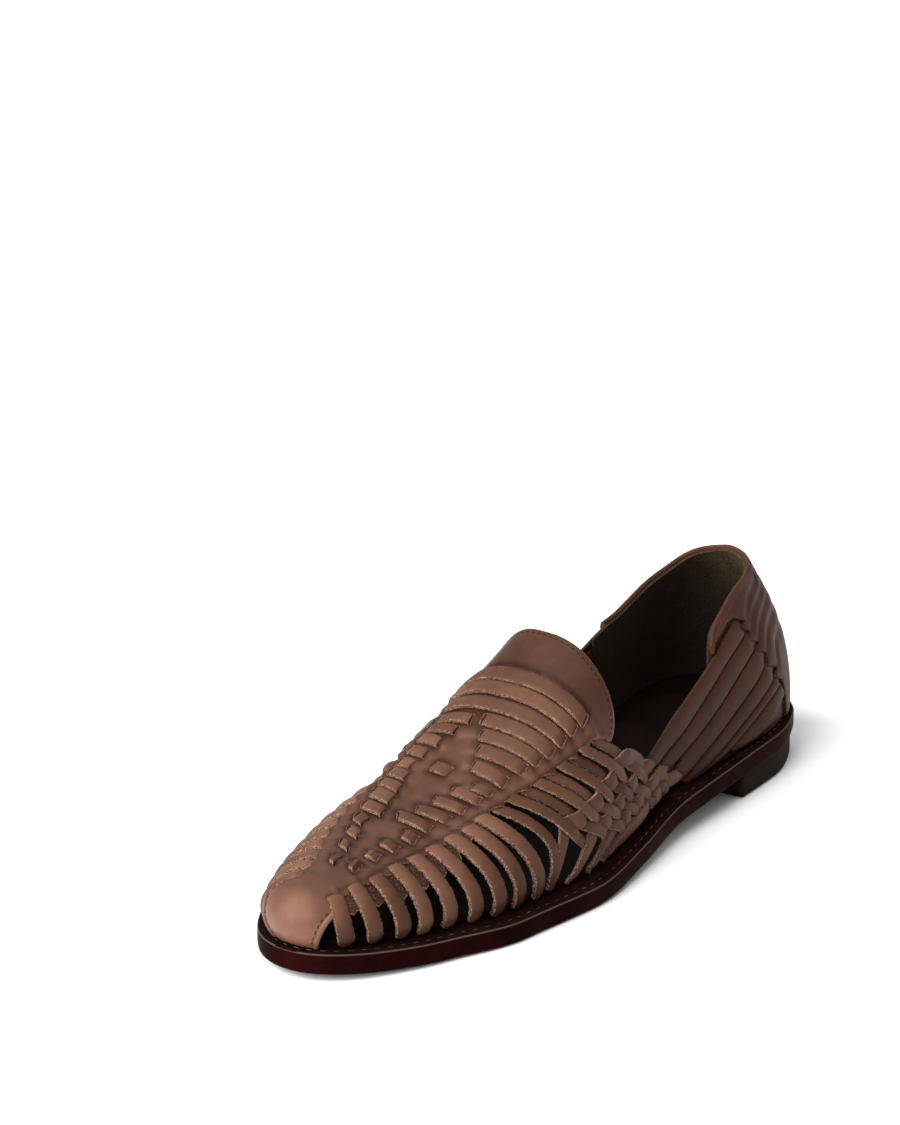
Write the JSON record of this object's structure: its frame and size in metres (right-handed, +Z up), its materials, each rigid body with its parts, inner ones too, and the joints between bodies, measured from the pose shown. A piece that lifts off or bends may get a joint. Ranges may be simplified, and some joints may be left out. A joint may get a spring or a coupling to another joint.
{
  "type": "woven leather slip-on loafer",
  "caption": "Left slip-on shoe: strip-woven hollow leather upper with plug, tongue and counter on a welted leather sole with a stacked heel.",
  "frame": {"origin": "on the floor plane under the middle of the shoe's bounding box", "axes": "+X from toe to heel, so the toe points to -X; +Y to the inner side of the foot, so the outer side is -Y; +Z up"},
  "size_m": [0.3, 0.0991, 0.0846],
  "materials": {
    "sole_leather": "dyed and polished edge",
    "heel_leather": "satin",
    "welt_leather": "matt",
    "sock_leather": "matt",
    "upper_leather": "satin"
  },
  "bodies": {
    "root": {"outsole": "sole_leather", "heel": "heel_leather", "midsole": "welt_leather", "insole": "sock_leather", "upper": "upper_leather"}
  },
  "joints": []
}
